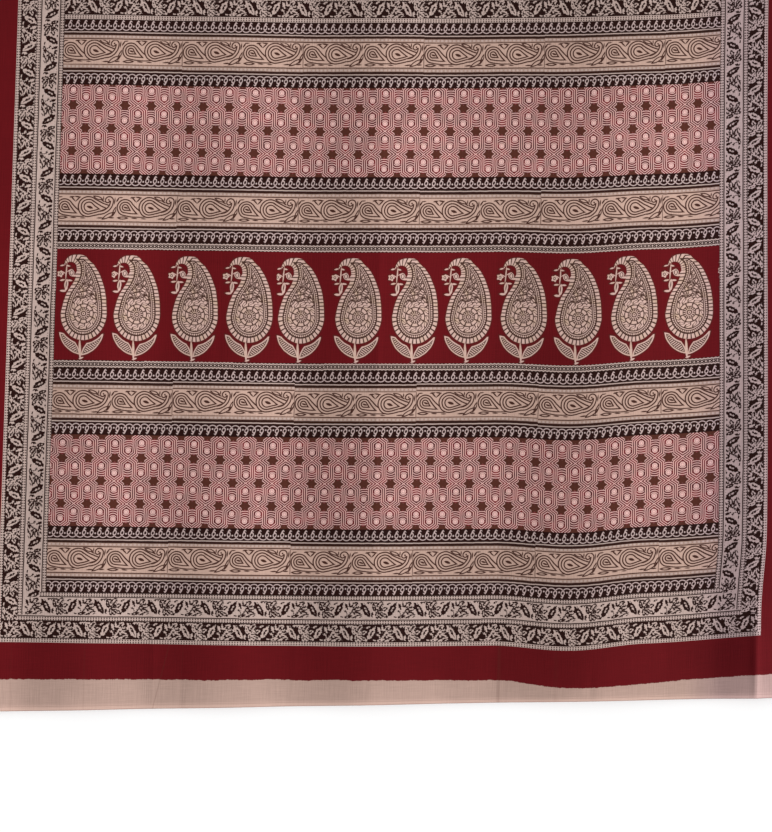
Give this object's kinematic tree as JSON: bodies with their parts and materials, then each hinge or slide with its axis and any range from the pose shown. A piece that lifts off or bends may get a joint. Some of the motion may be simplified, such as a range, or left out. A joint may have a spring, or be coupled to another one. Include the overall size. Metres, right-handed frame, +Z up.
{
  "type": "bagh print saree",
  "caption": "Folded block-printed cotton saree lying flat, with its printed end panel of bands, star lattice and paisleys face up",
  "frame": {"origin": "middle of the footprint, on the surface that the folded cloth lies on", "axes": "+X across the cloth towards the right selvage, +Y from the cut hem of the end panel towards the first fold, +Z up out of the printed face"},
  "size_m": [1.176, 1.1354, 0.0154],
  "materials": {
    "printed_cotton": "matte"
  },
  "bodies": {
    "root": {"saree": "printed_cotton"}
  },
  "joints": []
}
